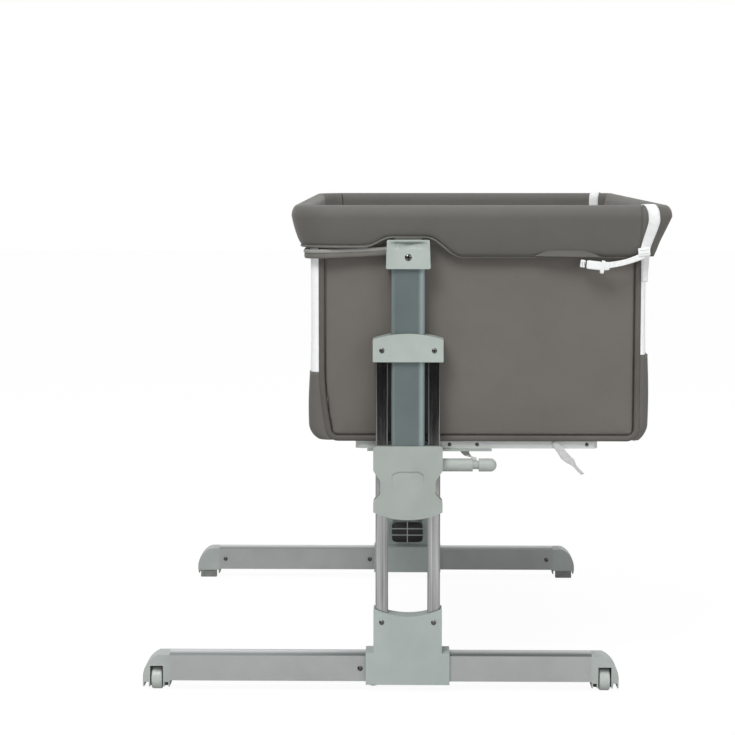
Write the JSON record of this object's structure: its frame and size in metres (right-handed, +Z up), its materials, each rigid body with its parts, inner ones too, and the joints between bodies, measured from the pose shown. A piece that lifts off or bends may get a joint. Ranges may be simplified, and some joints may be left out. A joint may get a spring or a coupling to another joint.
{
  "type": "bedside sleeper crib",
  "caption": "Bedside sleeper crib on two sliding T-shaped feet, with height-adjustable columns, a padded fabric basket, mesh sides and a bed side that folds down.",
  "frame": {"origin": "middle of the whole crib's footprint, on the floor", "axes": "+X from the crib towards the parents' bed, +Y along its length from the end in the picture to the far end, +Z up"},
  "size_m": [0.781, 0.934, 0.7237],
  "materials": {
    "frame_grey": "satin light grey paint",
    "rail_metal": "polished",
    "housing_plastic": "satin light grey",
    "cap_plastic": "satin light grey",
    "wheel_plastic": "satin light grey",
    "lock_plastic": "satin grey",
    "screw_steel": "plain",
    "pin_steel": "turned",
    "pad_rubber": "matt",
    "panel_cloth": "woven, padded",
    "rim_cloth": "woven, padded",
    "mesh_cloth": "fine open mesh",
    "white_webbing": "flat webbing",
    "buckle_plastic": "smooth",
    "base_board": "sheet",
    "mattress_cloth": "quilted"
  },
  "bodies": {
    "feet": {"near_foot_beam": "frame_grey", "far_foot_beam": "frame_grey", "near_end_caps": "cap_plastic", "far_end_caps": "cap_plastic", "wheel_axles": "pin_steel", "floor_pads": "pad_rubber", "foot_screws": "screw_steel"},
    "carriage": {"near_base_bracket": "housing_plastic", "far_base_bracket": "housing_plastic", "near_rails": "rail_metal", "far_rails": "rail_metal", "near_collar": "housing_plastic", "far_collar": "housing_plastic", "slide_liners": "lock_plastic", "column_screws": "screw_steel"},
    "basket": {"near_housing_front": "housing_plastic", "near_housing_back": "housing_plastic", "near_central_tube": "frame_grey", "near_top_bracket": "housing_plastic", "near_end_panel": "panel_cloth", "far_housing_front": "housing_plastic", "far_housing_back": "housing_plastic", "far_central_tube": "frame_grey", "far_top_bracket": "housing_plastic", "far_end_panel": "panel_cloth", "strap_posts": "housing_plastic", "top_bracket_screws": "screw_steel", "lower_frame": "frame_grey", "lower_frame_rivets": "screw_steel", "rim_frame": "frame_grey", "rim_plugs": "lock_plastic", "rim_cover": "rim_cloth", "left_side_panel": "panel_cloth", "right_side_panel": "panel_cloth", "left_mesh": "mesh_cloth", "barrier_tube": "frame_grey", "base_cloth": "panel_cloth", "base_board": "base_board", "mattress": "mattress_cloth", "buckle_sockets": "buckle_plastic", "buckle_flaps": "rim_cloth", "under_straps": "white_webbing"},
    "drop_side": {"drop_rail": "frame_grey", "drop_cover": "rim_cloth", "drop_mesh": "mesh_cloth", "rim_straps": "white_webbing", "strap_adjusters": "buckle_plastic", "buckle_plugs": "buckle_plastic"},
    "near_left_wheel_body": {"near_left_wheel": "wheel_plastic"},
    "near_left_lock_pin_body": {"near_left_lock_pin": "pin_steel"},
    "near_right_wheel_body": {"near_right_wheel": "wheel_plastic"},
    "near_right_lock_pin_body": {"near_right_lock_pin": "pin_steel"},
    "near_slide_lock_body": {"near_slide_lock": "lock_plastic"},
    "near_release_plate_body": {"near_release_plate": "lock_plastic"},
    "far_left_wheel_body": {"far_left_wheel": "wheel_plastic"},
    "far_left_lock_pin_body": {"far_left_lock_pin": "pin_steel"},
    "far_right_wheel_body": {"far_right_wheel": "wheel_plastic"},
    "far_right_lock_pin_body": {"far_right_lock_pin": "pin_steel"},
    "far_slide_lock_body": {"far_slide_lock": "lock_plastic"},
    "far_release_plate_body": {"far_release_plate": "lock_plastic"}
  },
  "joints": [
    {"name": "lateral_slide", "type": "slide", "parent": "feet", "child": "carriage", "axis": [1, 0, 0], "range_m": [-0.143, 0]},
    {"name": "height_slide", "type": "slide", "parent": "carriage", "child": "basket", "axis": [0, 0, 1], "range_m": [-0.09, 0.09]},
    {"name": "drop_side_hinge", "type": "hinge", "parent": "basket", "child": "drop_side", "pos_m": [0.3615, 0, 0.5006], "axis": [0, 1, 0], "range_deg": [0, 172]},
    {"name": "near_left_wheel_spin", "type": "hinge", "parent": "feet", "child": "near_left_wheel_body", "pos_m": [-0.37, -0.4435, 0.0165], "axis": [1, 0, 0], "continuous": true},
    {"name": "near_right_wheel_spin", "type": "hinge", "parent": "feet", "child": "near_right_wheel_body", "pos_m": [0.297, -0.4435, 0.0165], "axis": [1, 0, 0], "continuous": true},
    {"name": "near_slide_lock_pull", "type": "slide", "parent": "carriage", "child": "near_slide_lock_body", "axis": [0, 0, -1], "range_m": [0, 0.004], "stiffness_N_per_m": 400, "springref_m": -0.003},
    {"name": "near_release_push", "type": "slide", "parent": "basket", "child": "near_release_plate_body", "axis": [0, 0, 1], "range_m": [0, 0.008], "stiffness_N_per_m": 500, "springref_m": -0.003},
    {"name": "near_left_lock_pin_slide", "type": "slide", "parent": "basket", "child": "near_left_lock_pin_body", "axis": [1, 0, 0], "range_m": [0, 0.006]},
    {"name": "near_right_lock_pin_slide", "type": "slide", "parent": "basket", "child": "near_right_lock_pin_body", "axis": [-1, 0, 0], "range_m": [0, 0.006]},
    {"name": "far_left_wheel_spin", "type": "hinge", "parent": "feet", "child": "far_left_wheel_body", "pos_m": [-0.37, 0.4435, 0.0165], "axis": [1, 0, 0], "continuous": true},
    {"name": "far_right_wheel_spin", "type": "hinge", "parent": "feet", "child": "far_right_wheel_body", "pos_m": [0.297, 0.4435, 0.0165], "axis": [1, 0, 0], "continuous": true},
    {"name": "far_slide_lock_pull", "type": "slide", "parent": "carriage", "child": "far_slide_lock_body", "axis": [0, 0, -1], "range_m": [0, 0.004], "stiffness_N_per_m": 400, "springref_m": -0.003},
    {"name": "far_release_push", "type": "slide", "parent": "basket", "child": "far_release_plate_body", "axis": [0, 0, 1], "range_m": [0, 0.008], "stiffness_N_per_m": 500, "springref_m": -0.003},
    {"name": "far_left_lock_pin_slide", "type": "slide", "parent": "basket", "child": "far_left_lock_pin_body", "axis": [1, 0, 0], "range_m": [0, 0.006]},
    {"name": "far_right_lock_pin_slide", "type": "slide", "parent": "basket", "child": "far_right_lock_pin_body", "axis": [-1, 0, 0], "range_m": [0, 0.006]}
  ],
  "couplings": [
    {"joint": "near_left_lock_pin_slide", "follows": "near_release_push", "ratio": 0.75},
    {"joint": "near_right_lock_pin_slide", "follows": "near_release_push", "ratio": 0.75},
    {"joint": "far_left_lock_pin_slide", "follows": "far_release_push", "ratio": 0.75},
    {"joint": "far_right_lock_pin_slide", "follows": "far_release_push", "ratio": 0.75}
  ]
}
